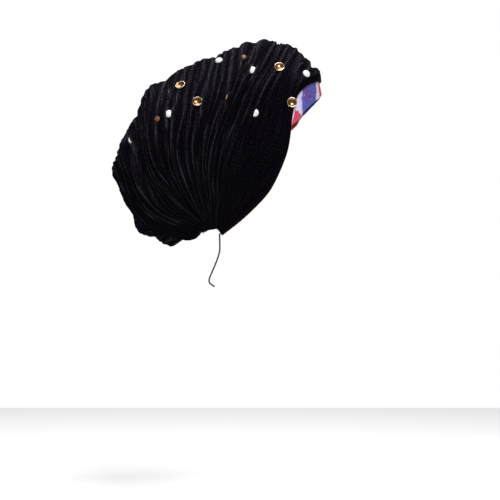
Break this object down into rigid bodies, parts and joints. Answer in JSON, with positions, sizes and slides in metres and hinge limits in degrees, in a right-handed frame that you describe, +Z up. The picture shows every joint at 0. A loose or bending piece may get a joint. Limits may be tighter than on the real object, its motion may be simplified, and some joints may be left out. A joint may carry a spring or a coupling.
{
  "type": "turban headwrap",
  "caption": "Slouchy pleated velvet turban with a printed satin band at the forehead, pearls, dished gilt studs and amber stones, and a loose draw cord at the nape.",
  "frame": {"origin": "the crown seat: the top of the wearer's head, where the inside of the crown bears on it", "axes": "+X the way the wearer looks, +Y the wearer's left, +Z up"},
  "size_m": [0.2716, 0.17, 0.3206],
  "materials": {
    "velvet": "black pleated velvet, soft pile with a dull sheen on the ridges",
    "satin": "glossy satin printed in blue, violet, lilac and red",
    "cord": "black round elastic cord, braided",
    "pearl": "half-round pearl, glossy white with a soft lustre",
    "gilt": "polished gold-coloured metal, a coppery dish in a bright rim",
    "amber": "clear amber-coloured resin stone, glossy"
  },
  "bodies": {
    "root": {"velvet_wrap": "velvet", "satin_band": "satin", "draw_cord": "cord", "pearl_right_01": "pearl", "pearl_left_01": "pearl", "amber_right_02": "amber", "amber_left_02": "amber", "pearl_right_03": "pearl", "pearl_left_03": "pearl", "gilt_right_04": "gilt", "gilt_left_04": "gilt", "pearl_right_05": "pearl", "pearl_left_05": "pearl", "gilt_right_06": "gilt", "gilt_left_06": "gilt", "gilt_right_07": "gilt", "gilt_left_07": "gilt", "amber_right_08": "amber", "amber_left_08": "amber", "pearl_right_09": "pearl", "pearl_left_09": "pearl", "gilt_right_10": "gilt", "gilt_left_10": "gilt", "pearl_right_11": "pearl", "pearl_left_11": "pearl", "amber_right_12": "amber", "amber_left_12": "amber", "pearl_right_13": "pearl", "pearl_left_13": "pearl", "amber_right_14": "amber", "amber_left_14": "amber"}
  },
  "joints": []
}
